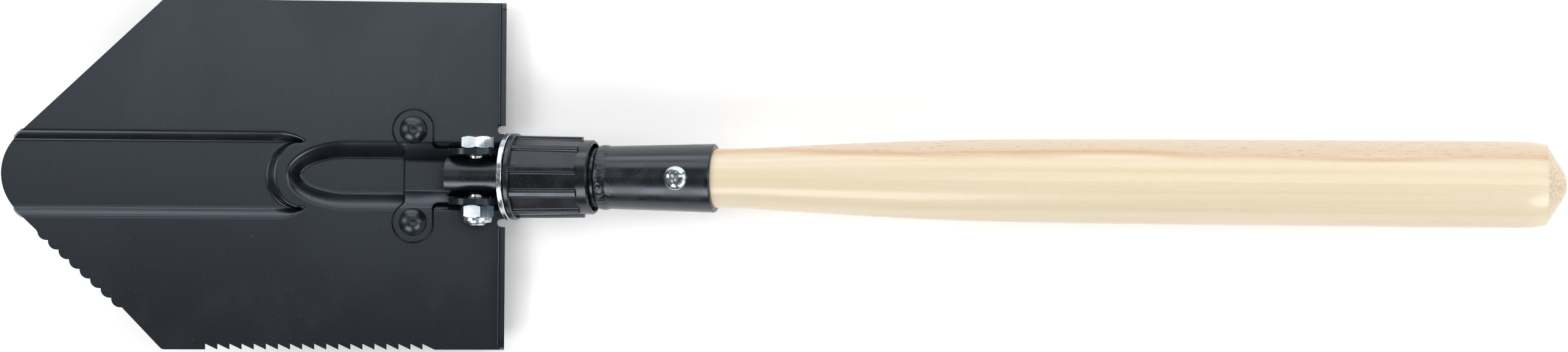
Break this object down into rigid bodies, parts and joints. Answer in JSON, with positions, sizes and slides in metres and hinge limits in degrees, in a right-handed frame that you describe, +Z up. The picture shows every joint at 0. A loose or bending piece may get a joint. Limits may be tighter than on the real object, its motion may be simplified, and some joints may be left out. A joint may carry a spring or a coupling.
{
  "type": "folding camp shovel",
  "caption": "Folding hand shovel: pressed steel blade with saw and scalloped edges, screw-collar lock, pivot bolt and a wooden handle.",
  "frame": {"origin": "bottom centre of the whole shovel's box, opened straight and resting on its blade's back", "axes": "+X along the shaft towards the handle's end, +Z up on the blade's open side, -Y on the blade's toothed side"},
  "size_m": [0.6514, 0.15, 0.0678],
  "materials": {
    "black_coat": "satin black powder coat with a cool tint",
    "gloss_black": "semi-gloss black coat on machined steel",
    "zinc": "bright zinc plate",
    "nylon": "smooth nylon",
    "wood": "clear lacquered pale hardwood"
  },
  "bodies": {
    "shaft": {"handle": "wood", "handle_rivet": "zinc", "socket": "gloss_black", "socket_weld": "gloss_black", "neck_tube": "gloss_black", "thread_bush": "gloss_black", "pivot_bush": "gloss_black", "shim_left": "gloss_black", "shim_right": "gloss_black"},
    "blade_group": {"blade": "black_coat", "hinge_bracket": "black_coat", "bracket_rivet_left": "black_coat", "bracket_rivet_right": "black_coat", "pivot_bolt": "zinc", "pivot_nut": "zinc", "nut_insert": "nylon"},
    "washer_ring": {"lock_washer": "zinc"},
    "screw_collar": {"lock_collar": "gloss_black"}
  },
  "joints": [
    {"name": "blade_fold", "type": "hinge", "parent": "shaft", "child": "blade_group", "pos_m": [-0.12648, 0, 0.02637], "axis": [0, 1, 0], "range_deg": [0, 160]},
    {"name": "washer_slide", "type": "slide", "parent": "shaft", "child": "washer_ring", "axis": [1, 0, 0], "range_m": [0, 0.008]},
    {"name": "collar_spin", "type": "hinge", "parent": "washer_ring", "child": "screw_collar", "pos_m": [-0.11088, 0, 0.02637], "axis": [1, 0, 0], "range_deg": [0, 720]}
  ],
  "couplings": [
    {"joint": "washer_slide", "follows": "collar_spin", "m_per_rad": 0.00063661}
  ]
}
